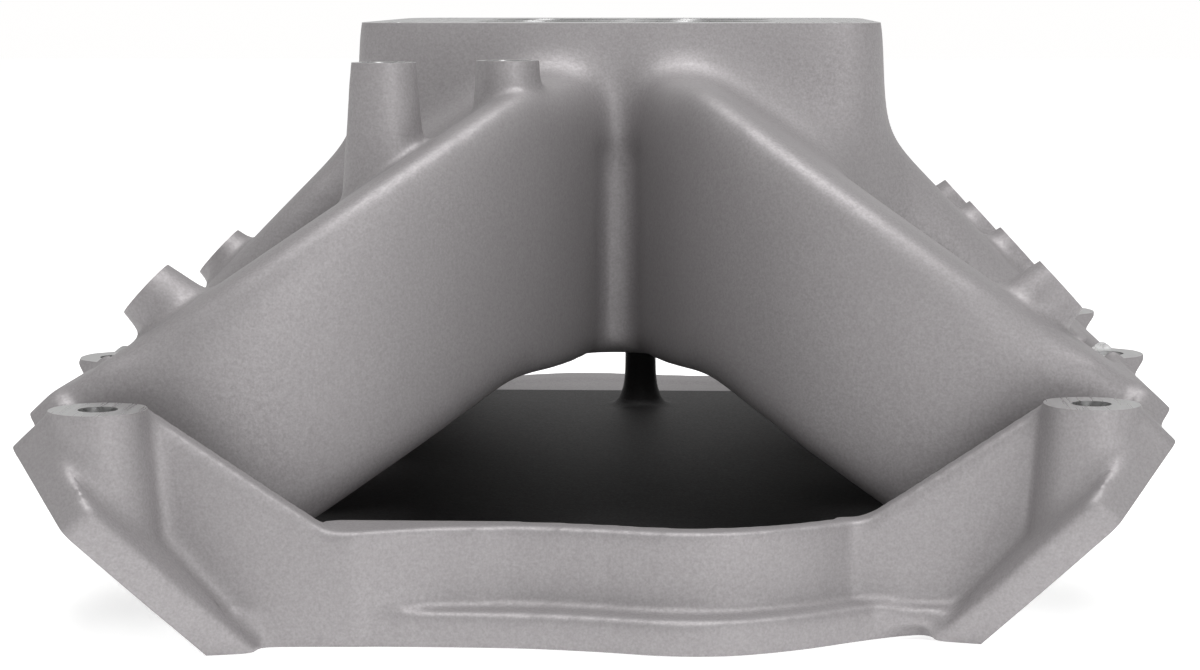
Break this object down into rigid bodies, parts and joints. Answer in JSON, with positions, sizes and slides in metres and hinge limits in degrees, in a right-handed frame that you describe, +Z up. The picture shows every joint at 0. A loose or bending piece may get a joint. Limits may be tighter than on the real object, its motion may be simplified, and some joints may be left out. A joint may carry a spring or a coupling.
{
  "type": "intake manifold",
  "caption": "Cast aluminium V8 intake manifold: a square-pad plenum on curved runners that end in two leaning gasket flanges, over an open valley floor.",
  "frame": {"origin": "centre of the footprint, on the plane the two end rails stand on", "axes": "+Z up towards the carburettor pad, +Y towards the front of the engine along the crankshaft, +X towards the right-hand gasket flange"},
  "size_m": [0.3046, 0.509, 0.155],
  "materials": {
    "cast_aluminium": "sand-cast, fine grain, matt",
    "machined_aluminium": "machined top on a sand-cast body",
    "plated_steel": "zinc plated"
  },
  "bodies": {
    "root": {"carburettor_pad": "machined_aluminium", "plenum_chamber": "cast_aluminium", "runner_left_1": "cast_aluminium", "runner_left_2": "cast_aluminium", "runner_left_3": "cast_aluminium", "runner_left_4": "cast_aluminium", "runner_right_1": "cast_aluminium", "runner_right_2": "cast_aluminium", "runner_right_3": "cast_aluminium", "runner_right_4": "cast_aluminium", "injector_boss_left_1": "cast_aluminium", "injector_boss_left_2": "cast_aluminium", "injector_boss_left_3": "cast_aluminium", "injector_boss_left_4": "cast_aluminium", "injector_boss_right_1": "cast_aluminium", "injector_boss_right_2": "cast_aluminium", "injector_boss_right_3": "cast_aluminium", "injector_boss_right_4": "cast_aluminium", "head_flange_left": "cast_aluminium", "bolt_post_rear_left": "cast_aluminium", "corner_web_rear_left": "cast_aluminium", "bolt_post_front_left": "cast_aluminium", "corner_web_front_left": "cast_aluminium", "bolt_boss_left_1": "cast_aluminium", "bolt_boss_left_2": "cast_aluminium", "bolt_boss_left_3": "cast_aluminium", "head_flange_right": "cast_aluminium", "bolt_post_rear_right": "cast_aluminium", "corner_web_rear_right": "cast_aluminium", "bolt_post_front_right": "cast_aluminium", "corner_web_front_right": "cast_aluminium", "bolt_boss_right_1": "cast_aluminium", "bolt_boss_right_2": "cast_aluminium", "bolt_boss_right_3": "cast_aluminium", "vacuum_boss_outer": "cast_aluminium", "vacuum_plug_outer": "plated_steel", "vacuum_boss_inner": "cast_aluminium", "vacuum_plug_inner": "plated_steel", "end_rail_rear": "cast_aluminium", "end_rail_front": "cast_aluminium", "valley_floor": "cast_aluminium", "valley_support": "cast_aluminium"}
  },
  "joints": []
}
